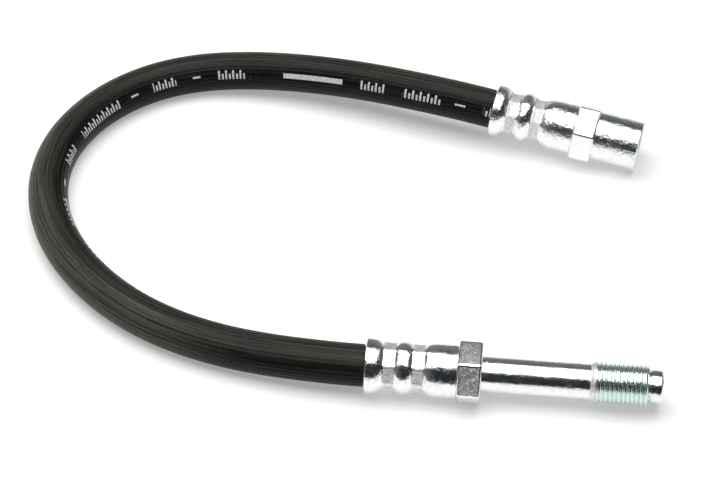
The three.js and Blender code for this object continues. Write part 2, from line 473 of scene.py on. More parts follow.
# Inside the shell: the pocket's floor, the nipple and the fluid passage
POCKET_FLOOR = 20.0
NIPPLE_RADIUS = 2.0
NIPPLE_TIP = 2.0
PASSAGE_RADIUS = 1.2

# Each fitting's crimps: the middle of its two rings of jaws, the angle of one ridge between
# two jaws from the front over the top, and the radius to a pressed flat and to a ridge
FEMALE_CRIMPS = (5.12, 11.85, math.radians(76.0), 5.2, 5.6)
MALE_CRIMPS = (5.72, 12.75, math.radians(47.0), 5.6, 6.02)

# How far the edges of a crimp are eased, along in millimetres and around in radians
EASE_ALONG = (-0.52, -0.26, 0.0, 0.26, 0.52)
EASE_AROUND = (-0.06, 0.0, 0.06)
EASE_REACH = 0.6

# The hexagon in millimetres: the rounding of its long edges, the radius where its corners are
# turned off, how steeply and how deep, and how far the turned blank stands past its faces
HEX_EDGE = 0.58
HEX_TURNED = 7.32
HEX_FALL = 0.55
HEX_TURN_DEPTH = 0.45
HEX_PAST = 0.5
HEX_HUB = 3.0

# Steps around a fitting and around a turned blank
FITTING_STEPS = 240
BLANK_STEPS = 96

# A thread's profile: the share of a pitch that it fills, how far it is sunk in millimetres,
# the number of points over it and how pointed its crest is
THREAD_SHARE = 0.96
THREAD_SINK = 0.25
THREAD_POINTS = 12
CREST_ROUNDING = 0.6

# Turn of each hexagon about its fitting, from a flat that faces front
FEMALE_ROLL = math.radians(5.0)
MALE_ROLL = math.radians(30.0)

# The socket in millimetres: its start and end, the chamfer outside, the mouth's radius and
# depth, the threaded bore and the cone below
SOCKET_START = 28.4
SOCKET_END = 39.9
SOCKET_CHAMFER = 0.3
MOUTH_RADIUS = 5.0
MOUTH_DEPTH = 0.55
SOCKET_BORE = 4.28
SOCKET_FLOOR = 27.6
CONE_FLOOR = 25.0

# The stem in millimetres: its hidden start, its end, and the shoulder up to the thread as
# (along, drop from the crest)
STEM_START = 27.6
STEM_END = 54.3
SHOULDER = ((54.9, 0.2), (55.3, 0.1))

# The male thread in millimetres: its depth, its first and last root, and where the blank that
# trims its turns starts, starts to taper and is hidden below the roots
THREAD_DEPTH = 0.38
ROOT_SPAN = (55.8, 67.9)
BLANK_START = 55.1
BLANK_TAPER = 67.85
BLANK_SINK = 0.4

# The groove after the thread, the nose and the passage's mouth, in millimetres
GROOVE_SPAN = (68.25, 68.5)
GROOVE_RADIUS = 3.75
NOSE_SPAN = (68.65, 71.1)
NOSE_RADIUS = 4.1
NOSE_END = 71.6
NOSE_TIP_RADIUS = 3.6
MOUTH_OF_PASSAGE = 1.6
PASSAGE_END = 71.2

# Where the male fitting's plate is dull at the stem's end, and where it is threaded
DULL_SHOULDER = (54.2, 55.4)
THREADED_SPAN = (55.5, 68.2)


def shell_outside(along):
    """Outer radius of the shell before it is crimped, in millimetres."""
    for (start, first), (end, last) in zip(SHELL_OUTSIDE, SHELL_OUTSIDE[1:]):
        if along <= end:
            share = max(0.0, (along - start) / (end - start))
            return first + (last - first) * share
    return SHELL_OUTSIDE[-1][1]


def bulge_fall(share, fullness):
    """How far a bulge has fallen, from 0 on its top to 1 at the edge of the jaws."""
    share = min(1.0, max(0.0, share)) * fullness
    return (1.0 - math.sqrt(1.0 - share * share)) / (1.0 - math.sqrt(1.0 - fullness ** 2))


def crimp_share(along, crimps):
    """How fully the shell is pressed, from 0 where it is round to 1 under the jaws."""
    first_edge, first_end = crimps[0] - HALF_JAW, crimps[0] + HALF_JAW
    second_edge, second_end = crimps[1] - HALF_JAW, crimps[1] + HALF_JAW
    if along < first_edge:
        return bulge_fall((along - RIM_SHOULDER) / (first_edge - RIM_SHOULDER), BULGE_FULLNESS)
    if along <= first_end or second_edge <= along <= second_end:
        return 1.0
    if along < second_edge:
        middle = (first_end + second_edge) / 2
        return bulge_fall(abs(along - middle) / (second_edge - middle), BULGE_FULLNESS)
    return bulge_fall((BODY_SHOULDER - along) / (BODY_SHOULDER - second_end), SHOULDER_FULLNESS)


def crimp_drop(along, angle, crimps):
    """How far the jaws have moved the wall inwards, in millimetres."""
    sector = math.tau / bpy.context.scene.brake_hose_fittings.jaws
    ridge, flat_radius, ridge_radius = crimps[2:]
    off_centre = (angle - ridge) % sector - sector / 2
    floor = min(flat_radius / math.cos(off_centre), ridge_radius)
    return crimp_share(along, crimps) * (shell_outside(along) - floor)


def soft_drop(along, angle, crimps):
    """The drop with its edges eased, as pressed metal has them."""
    total = 0.0
    for shift in EASE_ALONG:
        for turn in EASE_AROUND:
            total += crimp_drop(along + shift, angle + turn, crimps)
    return total / (len(EASE_ALONG) * len(EASE_AROUND))


def press_crimps(piece, crimps):
    """Press the two rings of flats into the round shell."""
    wall_middle = 4.0
    start, end = RIM_SHOULDER - EASE_REACH, BODY_SHOULDER + EASE_REACH
    for vertex in piece.data.vertices:
        along = vertex.co.x / MM
        radius = math.hypot(vertex.co.y, vertex.co.z) / MM
        if radius < wall_middle or not start < along < end:
            continue
        angle = math.atan2(vertex.co.z, -vertex.co.y)
        scale = (radius - soft_drop(along, angle, crimps)) / radius
        vertex.co.y *= scale
        vertex.co.z *= scale


def shell_profile():
    """Outside of the shell from the rim to the hexagon, in millimetres."""
    start, step = 0.5, 0.16
    rim = rounded([(RIM_FACE, SHELL_BORE, 0.0), *RIM_CORNERS])
    wall = [(along, shell_outside(along)) for along in spaced(start, PRESSED_END, step)]
    return [*rim[1:], *wall, SHELL_END]


def pocket_profile():
    """The pocket around the nipple, from its floor back to the rim, in millimetres."""
    end, step = 0.9, 0.32
    tip_rounding = 0.3
    tip = rounded([
        (NIPPLE_TIP, PASSAGE_RADIUS, 0.0), (NIPPLE_TIP, NIPPLE_RADIUS, tip_rounding),
        (POCKET_FLOOR, NIPPLE_RADIUS, 0.0),
    ])
    wall = [(along, SHELL_BORE) for along in spaced(PRESSED_END, end, step)]
    return [*tip, (POCKET_FLOOR, SHELL_BORE), *wall, (RIM_FACE, SHELL_BORE)]


def hexagon(name, roll):
    """A spanner hexagon: its long edges rounded, and its corners turned off at both faces."""
    settings = bpy.context.scene.brake_hose_fittings
    start = settings.shell_length / MM
    end = start + settings.hexagon_length / MM
    corner = settings.across_flats / MM / math.sqrt(3)
    deselect_all()
    bpy.ops.mesh.primitive_cylinder_add(
        vertices=6, radius=corner * MM, depth=(end - start) * MM,
        location=((start + end) / 2 * MM, 0.0, 0.0), rotation=(0.0, math.pi / 2, 0.0),
    )
    prism = bpy.context.object
    prism.name = name
    bpy.ops.object.transform_apply(location=True, rotation=True, scale=True)
    edit_all(prism)
    bpy.ops.transform.rotate(
        value=roll + math.radians(30.0), orient_axis="X", orient_type="GLOBAL",
        center_override=(0.0, 0.0, 0.0),
    )
    bpy.ops.mesh.select_all(action="DESELECT")
    bpy.ops.object.mode_set(mode="OBJECT")
    vertices = prism.data.vertices
    for edge in prism.data.edges:
        first, second = (vertices[index].co for index in edge.vertices)
        edge.select = abs(first.x - second.x) > MM
    bpy.ops.object.mode_set(mode="EDIT")
    bpy.ops.mesh.select_mode(type="EDGE")
    bpy.ops.mesh.bevel(offset=HEX_EDGE * MM, segments=5, affect="EDGES")
    bpy.ops.mesh.select_mode(type="VERT")
    bpy.ops.object.mode_set(mode="OBJECT")
    below = HEX_TURNED - HEX_PAST / HEX_FALL
    above = HEX_TURNED + HEX_TURN_DEPTH / HEX_FALL
    outline = (
        (start - HEX_PAST, HEX_HUB), (start - HEX_PAST, below), (start, HEX_TURNED),
        (start + HEX_TURN_DEPTH, above), (end - HEX_TURN_DEPTH, above),
        (end, HEX_TURNED), (end + HEX_PAST, below), (end + HEX_PAST, HEX_HUB),
    )
    boolean(prism, turned(name + "_blank", outline, BLANK_STEPS), "INTERSECT")
    return prism


def thread_coil(name, start, turns, pitch, root, crest, steps):
    """A closed strip of thread with round crests and roots, wound by a Screw modifier."""
    edge = THREAD_SHARE / 2 * pitch
    section = [(start - edge, root - THREAD_SINK)]
    for step in range(THREAD_POINTS + 1):
        offset = THREAD_SHARE * (step / THREAD_POINTS - 0.5)
        height = (0.5 + 0.5 * math.cos(math.tau * offset)) ** CREST_ROUNDING
        section.append((start + offset * pitch, root + (crest - root) * height))
    section.append((start + edge, root - THREAD_SINK))
    loop = [*section, section[0]]
    line = extruded_line(name, [Vector((along, 0.0, radius)) * MM for along, radius in loop])
    bpy.ops.object.mode_set(mode="OBJECT")
    modifier = line.modifiers.new("screw", "SCREW")
    modifier.axis = "X"
    modifier.angle = math.tau
    modifier.screw_offset = pitch * MM
    modifier.iterations = turns
    modifier.steps = steps
    modifier.render_steps = steps
    modifier.use_merge_vertices = False
    make_active(line)
    bpy.ops.object.modifier_apply(modifier=modifier.name)
    edit_all(line)
    bpy.ops.mesh.select_all(action="DESELECT")
    bpy.ops.mesh.select_non_manifold()
    bpy.ops.mesh.edge_face_add()
    bpy.ops.mesh.select_all(action="SELECT")
    bpy.ops.mesh.normals_make_consistent(inside=False)
    bpy.ops.object.mode_set(mode="OBJECT")
    return line


def fitting(name, outline, crimps, roll):
    """One fitting, spun, crimped and joined to its hexagon, with its rim at the origin."""
    body = turned(name, [*shell_profile(), *rounded(outline), *pocket_profile()], FITTING_STEPS)
    press_crimps(body, crimps)
    boolean(body, hexagon(name + "_hexagon", roll), "UNION")
    return body


def metal_pair(piece, zinc, flats, roll):
    """Give the hexagon's flats their own dull finish and all the rest the turned one."""
    square, level, under = 0.05, 0.9995, 0.02 * MM
    settings = bpy.context.scene.brake_hose_fittings
    piece.data.materials.clear()
    piece.data.materials.append(zinc)
    piece.data.materials.append(flats)
    start = settings.shell_length
    end = start + settings.hexagon_length
    apothem = settings.across_flats / 2
    for face in piece.data.polygons:
        middle = face.center
        face.material_index = 0
        if not start < middle.x < end or abs(face.normal.x) > square:
            continue
        for side in range(6):
            angle = roll + math.radians(60.0 * side)
            outward = Vector((0.0, -math.cos(angle), math.sin(angle)))
            if face.normal.dot(outward) > level and middle.dot(outward) > apothem - under:
                face.material_index = 1


def finish_fitting(piece, place, roll, zinc, flats):
    metal_pair(piece, zinc, flats, roll)
    settle(piece, place)
    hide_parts(piece.name.replace("_fitting", "_end"))
    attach(piece, "root")


# Finishes of the fittings

WARM_PLATE = (0.88, 0.80, 0.77)
COOL_PLATE = (0.70, 0.79, 0.82)
THREAD_PLATE = (0.62, 0.78, 0.76)
DULL_PLATE = (0.60, 0.61, 0.60)
SPECK_PLATE = (0.35, 0.35, 0.34)
RUBBED_PLATE = (0.66, 0.61, 0.54)
FLAT_VEINS = (0.24, 0.25, 0.25)
FLAT_SPOTS = (0.50, 0.52, 0.52)
BLACK = (0.0, 0.0, 0.0)

# Depth of the flats' grain in metres, and the heights in millimetres between which it fades in
# from the lower flats, which it leaves lighter as painted light, and between which the uppermost
# flat starts, which is painted darker as painted shade
FLATS_GRAIN = 0.00006
LOWER_FLATS_PAINTED_LIGHT_HEIGHTS = (-0.5, 0.1)
UPPER_FLAT_PAINTED_SHADE_HEIGHTS = (6.4, 6.8)


def plated_surface(group, given):
    """Zinc plate on turned steel: a cloudy tint, dull blotches, specks, turned lines and dents,
    with rubbed and pitted metal where it is pressed and a green tint where it is threaded."""
    place, pressed, threaded = given["Place"], given["Pressed"], given["Threaded"]
    cloud = noise(group, place, 0.32, 3.0, 0.55)
    shade = tint(group, given["Colour"], ramp(group, cloud, 0.52, 0.70), 0.4, WARM_PLATE)
    shade = tint(group, shade, ramp(group, cloud, 0.48, 0.30), 0.6, COOL_PLATE)
    shade = tint(group, shade, threaded, 0.75, THREAD_PLATE)
    blotch = noise(group, place, 1.15, 4.0, 0.6, distortion=0.6)
    dull = eased(group, blotch, 0.48, 0.64)
    shade = tint(group, shade, dull, 0.35, DULL_PLATE)
    specks = ramp(group, noise(group, place, 4.2), 0.64, 0.72)
    shade = tint(group, shade, specks, 0.35, SPECK_PLATE)
    rubbed = times(group, pressed, ramp(group, blotch, 0.42, 0.60, 0.0, 0.5))
    shade = mix_colour(group, rubbed, shade, RUBBED_PLATE)
    lines = noise(group, place, 1.0, 3.0, 0.7, stretch=(7.0, 0.05, 0.05))
    ripple = noise(group, place, 1.0, 3.0, 0.55, stretch=(1.0, 0.8, 0.8))
    pits = noise(group, place, 2.4, 3.0, 0.6)
    pit_depth = ramp(group, pressed, 0.0, 1.0, 0.16, 1.1)
    height = added(group, times(group, lines, 0.05), (ripple, 0.5), (pits, pit_depth))
    rough = ramp(group, dull, 0.0, 1.0, 0.12, 0.24)
    rough = added(group, rough, (lines, 0.05), (pressed, 0.20), (threaded, 0.05))
    return {"Colour": shade, "Roughness": rough, "Height": height}


def drawn_surface(group, given):
    """The flats of drawn hexagon bar under the plate: a worm-like grain, strong or faint."""
    grain = given["Grain"]
    worm = noise(group, given["Place"], 0.72, 2.0, 0.5, distortion=1.6)
    vein = math_node(group, "ABSOLUTE", math_node(group, "SUBTRACT", worm, 0.5))
    vein = eased(group, vein, 0.02, 0.10, 1.0, 0.0)
    fine = noise(group, given["Place"], 3.5, 3.0, 0.6)
    shade = tint(group, given["Colour"], times(group, vein, 0.75), grain, FLAT_VEINS)
    spots = times(group, ramp(group, fine, 0.45, 0.65), 0.4)
    shade = tint(group, shade, spots, grain, FLAT_SPOTS)
    rough = times(group, math_node(group, "ADD", ramp(group, fine, 0.3, 0.7), vein), 0.07)
    height = added(group, times(group, fine, 0.5), (vein, -0.6))
    return {"Colour": shade, "Roughness": rough, "Height": times(group, height, grain)}


def zinc_material(name, settings, place, crimps, dents, dull_spans=(), thread_span=None):
    """The turned finish, pressed at the crimps and the dull spans, and threaded on its span."""
    jaw_soft, dull_soft, thread_soft = 0.4, 0.1, 0.4
    material, tree, shader = new_material(name)
    shader.inputs["Metallic"].default_value = 1.0
    coordinates = local_coordinates(tree, place)
    along = components(tree, coordinates)["X"]
    pressed = [near(tree, along, ring, HALF_JAW, jaw_soft) for ring in crimps[:2]]
    pressed += [within(tree, along, span, dull_soft) for span in dull_spans]
    threaded = within(tree, along, thread_span, thread_soft) if thread_span else 0.0
    sockets = {"Place": "Vector", "Colour": "Color", "Pressed": "Float", "Threaded": "Float"}
    surface = use_group(
        tree, shared_group("plated_surface", sockets, SURFACE_SOCKETS, plated_surface),
        Place=coordinates, Colour=tuple(settings.zinc_colour), Pressed=most(tree, pressed),
        Threaded=threaded,
    )
    feed(tree, shader.inputs["Base Color"], surface["Colour"])
    feed(tree, shader.inputs["Roughness"], surface["Roughness"])
    bump(tree, shader, surface["Height"], dents)
    return material


def flats_material(name, place, colour, roughness, grain, upper_flat_painted_shade=1.0):
    """The drawn flats: the lowest painted lighter with little grain, the uppermost painted darker.
    """
    painted_light_grain_share = 0.25
    material, tree, shader = new_material(name)
    shader.inputs["Metallic"].default_value = 1.0
    coordinates = local_coordinates(tree, place)
    height = components(tree, coordinates)["Z"]
    sockets = {"Place": "Vector", "Colour": "Color", "Grain": "Float"}
    surface = use_group(
        tree, shared_group("drawn_surface", sockets, SURFACE_SOCKETS, drawn_surface),
        Place=coordinates, Colour=tuple(colour),
        # Painted light: the grain fades to a small share on the lower flats, so they read lighter
        Grain=eased(tree, height, *LOWER_FLATS_PAINTED_LIGHT_HEIGHTS, painted_light_grain_share * grain, grain),
    )
    # Painted shade: the uppermost flat is darkened towards black
    upper_painted_shade = eased(tree, height, *UPPER_FLAT_PAINTED_SHADE_HEIGHTS, 1.0, upper_flat_painted_shade)
    shade = mix_colour(tree, upper_painted_shade, BLACK, surface["Colour"])
    feed(tree, shader.inputs["Base Color"], shade)
    rough = math_node(tree, "ADD", surface["Roughness"], roughness)
    feed(tree, shader.inputs["Roughness"], rough)
    bump(tree, shader, surface["Height"], FLATS_GRAIN)
    return material


# Hose

# Points on each span of the route, and the spacing of the rings along it in metres
SPAN_STEPS = 40
RING_SPACING = 1.15 * MM

# The ribs' crests lie this far below the nominal diameter, so that the facets stay inside it
SKIN = 0.00004
RIB_STEPS = 4
BORE_SIDES = 16

# In the shells: where the squeeze starts and the room it leaves in millimetres, and how far to
# the side the hose still counts as in a shell, in metres
SQUEEZE_START = 0.5
SQUEEZE_ROOM = 0.04
SHELL_SIDE = 0.01

# On the nipples: where the bore widens and how far to the side its middle may be, in metres,
# and the room around the nipple in millimetres
WIDER_FROM = 0.0014
NIPPLE_SIDE = 0.001
NIPPLE_ROOM = 0.03

# A face's corners as steps along and around, for the outside and for the bore
OUTSIDE_CORNERS = ((0, 0), (0, 1), (1, 1), (1, 0))
BORE_CORNERS = ((0, 1), (0, 0), (1, 0), (1, 1))

# Every so many rings, one is a point of the cord's path
PATH_STRIDE = 4


def smooth_curve(points, per_span):
    """Points along the smooth curve through the route, spaced by chord as in the solids."""
    least = 1e-6
    first = points[0] * 2 - points[1]
    last = points[-1] * 2 - points[-2]
    padded = [first, *points, last]
    curve = []
    for index in range(1, len(padded) - 2):
        before, here, there, beyond = padded[index - 1:index + 3]
        lead = max((before - here).length ** 0.5, least)
        span = max((here - there).length ** 0.5, least)
        tail = max((there - beyond).length ** 0.5, least)
        start = (here - before) / lead - (there - before) / (lead + span) + (there - here) / span
        end = (there - here) / span - (beyond - here) / (span + tail) + (beyond - there) / tail
        start, end = start * span, end * span
        for step in range(per_span):
            t = step / per_span
            curve.append(
                here * (2 * t ** 3 - 3 * t ** 2 + 1) + start * (t ** 3 - 2 * t ** 2 + t)
                + there * (3 * t ** 2 - 2 * t ** 3) + end * (t ** 3 - t ** 2)
            )
    curve.append(points[-1].copy())
    return curve


def hose_route():
    """The hose's centre line from inside the female shell to inside the male one."""
    radius = bpy.context.scene.brake_hose_hose.outer_diameter / 2
    free = [Vector((x, y, radius + lift)) for x, y, lift in ROUTE]
    held = [Vector((along, 0.0, 0.0)) for along in (GRIP_END, 0.0, -LEAD_OUT)]
    start = [FEMALE_PLACE @ point for point in held]
    end = [MALE_PLACE @ point for point in reversed(held)]
    return smooth_curve([*start, *free, *end], SPAN_STEPS)


def evenly(curve, spacing):
    """The curve cut into equal steps, with the distance along it to each point."""
    lengths = [0.0]
    for here, there in zip(curve, curve[1:]):
        lengths.append(lengths[-1] + (there - here).length)
    count = round(lengths[-1] / spacing)
    points = []
    index = 0
    for step in range(count + 1):
        wanted = lengths[-1] * step / count
        while index < len(lengths) - 2 and lengths[index + 1] < wanted:
            index += 1
        share = (wanted - lengths[index]) / (lengths[index + 1] - lengths[index])
        points.append((wanted, curve[index].lerp(curve[index + 1], min(1.0, share))))
    return points


def squeeze(point):
    """Keep the hose's wall inside the crimped shells."""
    for place, crimps in ((FEMALE_PLACE, FEMALE_CRIMPS), (MALE_PLACE, MALE_CRIMPS)):
        local = place.inverted() @ point
        along = local.x / MM
        if along < SQUEEZE_START or abs(local.y) > SHELL_SIDE:
            continue
        drop = soft_drop(along, math.atan2(local.z, -local.y), crimps)
        limit = SHELL_BORE - drop - SQUEEZE_ROOM
        distance = math.hypot(local.y, local.z) / MM
        if distance > limit:
            local.y *= limit / distance
            local.z *= limit / distance
            return place @ local
    return point


def bore_reach(centre, bore):
    """The bore's radius, wider where a nipple is in it."""
    for place in (FEMALE_PLACE, MALE_PLACE):
        local = place.inverted() @ centre
        if local.x > WIDER_FROM and abs(local.y) < NIPPLE_SIDE:
            return (NIPPLE_RADIUS + NIPPLE_ROOM) * MM
    return bore / 2


def ring_axes(stations, index):
    """Which way the inner side of the bend and the top lie at a station."""
    before = stations[max(0, index - 1)][1]
    after = stations[min(len(stations) - 1, index + 1)][1]
    heading = (after - before).normalized()
    inner = Vector((0.0, 0.0, 1.0)).cross(heading).normalized()
    return inner, heading.cross(inner).normalized()


def ring(centre, inner, upward, reaches):
    """Points around a centre, each at its own reach."""
    points = []
    for side, reach in enumerate(reaches):
        angle = math.tau * side / len(reaches)
        points.append(centre + (inner * math.cos(angle) + upward * math.sin(angle)) * reach)
    return points


def tube_faces(first, distances, sides, corners):
    """Faces between rings, each with its corners' distance along and turn around."""
    faces = []
    for index in range(len(distances) - 1):
        for side in range(sides):
            face, places = [], []
            for step, turn in corners:
                face.append(first + (index + step) * sides + (side + turn) % sides)
                places.append((distances[index + step], (side + turn) / sides))
            faces.append((face, places))
    return faces


def end_faces(bore_start, distances, around):
    """Faces between the outside and the bore at both ends of the hose."""
    per_side = around // BORE_SIDES
    faces = []
    for end in (0, len(distances) - 1):
        outer, inside = end * around, bore_start + end * BORE_SIDES
        for side in range(BORE_SIDES):
            arc = [outer + (side * per_side + step) % around for step in range(per_side + 1)]
            face = [inside + side, inside + (side + 1) % BORE_SIDES, *reversed(arc)]
            if end:
                face.reverse()
            faces.append((face, [(distances[end], 0.5)] * len(face)))
    return faces


def hose_mesh(name):
    """A ribbed tube along the route, with a UV map of distance along and turn around."""
    settings = bpy.context.scene.brake_hose_hose
    stations = evenly(hose_route(), RING_SPACING)
    distances = [distance - GRIP_END for distance, centre in stations]
    radius = settings.outer_diameter / 2
    around = settings.ribs * RIB_STEPS
    waves = [0.5 - 0.5 * math.cos(math.tau * side / RIB_STEPS) for side in range(around)]
    reaches = [radius - SKIN - settings.rib_height * wave for wave in waves]
    outside, bore = [], []
    for index, (distance, centre) in enumerate(stations):
        inner, upward = ring_axes(stations, index)
        outside += [squeeze(point) for point in ring(centre, inner, upward, reaches)]
        bore += ring(centre, inner, upward, [bore_reach(centre, settings.bore)] * BORE_SIDES)
    faces = [
        *tube_faces(0, distances, around, OUTSIDE_CORNERS),
        *tube_faces(len(outside), distances, BORE_SIDES, BORE_CORNERS),
        *end_faces(len(outside), distances, around),
    ]
    mesh = bpy.data.meshes.new(name)
    vertices = [tuple(vertex) for vertex in (*outside, *bore)]
    mesh.from_pydata(vertices, [], [tuple(face) for face, places in faces])
    layer = mesh.uv_layers.new(name="along_and_around")
    for polygon, (face, places) in zip(mesh.polygons, faces):
        for loop, place in zip(polygon.loop_indices, places):
            layer.data[loop].uv = place
    mesh.validate()
    piece = bpy.data.objects.new(name, mesh)
    bpy.context.scene.collection.objects.link(piece)
    return piece, stations


# Finish of the hose

# Printed marks along the hose, as start and end in millimetres from the female rim
TICK_ROWS = (
    (0.5, 2.3), (13.6, 24.3), (29.4, 36.5), (70.5, 78.8), (91.7, 99.2), (111.4, 128.6),
    (134.4, 141.5), (156.2, 168.6), (175.4, 184.4), (198.2, 206.3), (218.0, 228.2), (240.0, 247.5),
)
SHORT_DASHES = (
    (7.0, 9.9), (84.0, 86.4), (104.4, 106.9), (148.5, 151.4), (190.6, 193.6), (233.0, 235.5),
)
LONG_BARS = ((41.7, 59.1),)

# The marks' lower and upper edges in millimetres around the hose from the middle of the print
TALL_TICK = (-1.25, 1.25)
LOW_TICK = (-1.25, 0.35)
BAR = (-0.7, 0.7)
DASH = (-0.25, 0.3)

# The spacing of a tall tick and the low one after it, and the shares of it that each covers
TICK_SPACING = 2.1
TALL_SHARE = (0.08, 0.34)
LOW_SHARE = (0.56, 0.82)

# Painted light, paler rubber where light falls: its middle, half width and soft edge along the
# hose in millimetres, and around it as turns at the bend's outer side and at the top
LIT_BEND_ALONG = (165.0, 38.0, 40.0)
LIT_BEND_AROUND = (0.42, 0.11, 0.09)
LIT_TOP_AROUND = (0.28, 0.06, 0.075)
LIT_TOP_SHARE = 0.45

BROWN_RUBBER = (0.0040, 0.0030, 0.0024)
CREST_WEAR_AND_LIGHT_RUBBER = (0.0090, 0.0088, 0.0082)
# Colour of the painted light on the rubber
PAINTED_LIGHT_RUBBER = (0.060, 0.058, 0.049)
STREAK_RUBBER = (0.030, 0.029, 0.027)
SCUFF_RUBBER = (0.075, 0.073, 0.070)
DUST = (0.26, 0.25, 0.24)
RUBBER_GLOSS = 0.095
RUBBER_GRAIN = 0.00006


def ink_mask(tree, along, around):
    """Where the printed marks are: rows of upright ticks, short dashes and plain bars."""

    def band(value, span):
        above = math_node(tree, "GREATER_THAN", value, span[0])
        return times(tree, above, math_node(tree, "LESS_THAN", value, span[1]))

    share = math_node(tree, "FRACT", math_node(tree, "DIVIDE", along, TICK_SPACING))
    tall = times(tree, band(share, TALL_SHARE), band(around, TALL_TICK))
    low = times(tree, band(share, LOW_SHARE), band(around, LOW_TICK))
    marks = []
    for spans, shape in (
        (TICK_ROWS, most(tree, [tall, low])),
        (SHORT_DASHES, band(around, DASH)),
        (LONG_BARS, band(around, BAR)),
    ):
        marks.append(times(tree, most(tree, [band(along, span) for span in spans]), shape))
    return most(tree, marks)


def rubber_surface(group, given):
    """Extruded rubber: a colour that drifts, paler crests, painted light, streaks, scuffs and
    dust.
    """
    place, crest = given["Place"], given["Rib"]
    flat = unrolled(group, given["Along"], given["Around"])
    drift = ramp(group, noise(group, place, 0.06, 3.0, 0.6), 0.38, 0.64)
    shade = mix_colour(group, drift, given["Colour"], BROWN_RUBBER)
    # Partly wear and partly painted light: the crests are paler and the grooves stay darker, as
    # lit ribs and shaded grooves
    shade = tint(group, shade, crest, 0.6, CREST_WEAR_AND_LIGHT_RUBBER)
    # Painted light: paler rubber where the top and the bend's outer side would catch the light
    shade = mix_colour(group, given["Bloom"], shade, PAINTED_LIGHT_RUBBER)
    streak = noise(group, flat, 1.0, 3.0, 0.65, stretch=(0.06, 1.3, 1.0))
    streaks = ramp(group, streak, 0.54, 0.72)
    shade = tint(group, shade, streaks, 0.7, STREAK_RUBBER)
    scuff = noise(group, flat, 1.0, stretch=(1.7, 4.6, 1.0))
    shade = tint(group, shade, ramp(group, scuff, 0.66, 0.74), 0.5, SCUFF_RUBBER)
    dust = ramp(group, noise(group, place, 3.2), 0.70, 0.76)
    shade = tint(group, shade, dust, 0.5, DUST)
    rough = ramp(group, noise(group, place, 0.25, 3.0, 0.6), 0.35, 0.65, 0.26, 0.36)
    rough = added(group, rough, (streaks, 0.08), (crest, -0.05))
    wear = noise(group, flat, 1.0, 3.0, 0.6, stretch=(2.2, 3.0, 1.0))
    return {
        "Colour": shade, "Roughness": rough, "Height": noise(group, place, 7.0, 3.0, 0.65),
        "Wear": ramp(group, wear, 0.36, 0.50),
    }


def painted_light_mask(tree, along, turn, around, wave):
    """Where the rubber is painted paler as painted light: over the bend and the top, more on the
    crests, and unevenly.
    """
    bend = near(tree, turn, *LIT_BEND_AROUND)
    bend = times(tree, near(tree, along, *LIT_BEND_ALONG), bend)
    top = times(tree, near(tree, turn, *LIT_TOP_AROUND), LIT_TOP_SHARE)
    # The painted light is strongest on the rib crests
    painted_light = times(tree, most(tree, [bend, top]), ramp(tree, wave, -1.0, 1.0, 0.62, 1.0))
    flat = unrolled(tree, along, around)
    uneven = noise(tree, flat, 1.0, 3.0, 0.6, stretch=(0.035, 0.95, 1.0))
    return times(tree, painted_light, ramp(tree, uneven, 0.34, 0.66, 0.35, 1.45))


def rubber_material(settings):
    material, tree, shader = new_material("ribbed_rubber")
    uv = tree.nodes.new("ShaderNodeUVMap")
    uv.uv_map = "along_and_around"
    parts = components(tree, uv.outputs["UV"])
    turn = parts["Y"]
    along = times(tree, parts["X"], 1.0 / MM)
    from_print = math_node(tree, "SUBTRACT", turn, settings.print_angle / math.tau)
    around = times(tree, from_print, math.pi * settings.outer_diameter / MM)
    wave = math_node(tree, "COSINE", times(tree, turn, math.tau * settings.ribs))
    sockets = {
        "Place": "Vector", "Along": "Float", "Around": "Float", "Rib": "Float",
        "Bloom": "Float", "Colour": "Color",
    }
    results = {**SURFACE_SOCKETS, "Wear": "Float"}
    surface = use_group(
        tree, shared_group("rubber_surface", sockets, results, rubber_surface),
        Place=local_coordinates(tree, Matrix.Identity(4)), Along=along, Around=around,
        Rib=ramp(tree, wave, -1.0, 1.0), Bloom=painted_light_mask(tree, along, turn, around, wave),
        Colour=tuple(settings.rubber_colour),
    )
    worn = ramp(tree, surface["Wear"], 0.0, 1.0, 0.35)
    ink = times(tree, ink_mask(tree, along, around), worn)
    inked = mix_colour(tree, ink, surface["Colour"], tuple(settings.print_colour))
    feed(tree, shader.inputs["Base Color"], inked)
    feed(tree, shader.inputs["Roughness"], surface["Roughness"])
    shader.inputs["Specular IOR Level"].default_value = RUBBER_GLOSS
    bump(tree, shader, surface["Height"], RUBBER_GRAIN)
    return material


# Stage

# The camera and what it looks at in millimetres, its nearest and furthest view in metres, and
# the soft box in metres
CAMERA_PLACE = (108.08, -424.71, 436.2)
CAMERA_TARGET = (-53.82, -3.04, 0.0)
SENSOR_WIDTH = 36.0
NEAREST_VIEW = 0.01
FURTHEST_VIEW = 50.0
SOFTBOX_CENTRE = (-0.12, -0.0325, 0.565)
SOFTBOX_SIZE = (0.72, 0.565)
SOFTBOX_COLOUR = (1.0, 0.995, 0.98)

# How far the even light of the table reaches from the part, and where its front edge lies for
# what the metal mirrors, in metres
GLOW_REACH = (0.12, 0.45)
FAR_GLOW = 0.95
FRONT_EDGE = (-0.135, -0.165)
GLOW_COLOUR = (1.0, 0.995, 0.985)
UNLIT_TABLE = (0.02, 0.02, 0.022)

# The room's colours, those in pairs mixed in patches
DARK_FRONT = ((0.010, 0.013, 0.017), (0.030, 0.038, 0.044))
GREY_FRONT = ((0.030, 0.042, 0.050), (0.085, 0.098, 0.104))
LOW_WALL = ((0.15, 0.165, 0.135), (0.27, 0.28, 0.205))
HIGH_WALL = ((0.035, 0.048, 0.058), (0.11, 0.125, 0.13))
PINK_SIDE = (0.19, 0.145, 0.135)
CEILING = (0.6, 0.6, 0.6)
BACKDROP = (0.97, 0.97, 0.97)


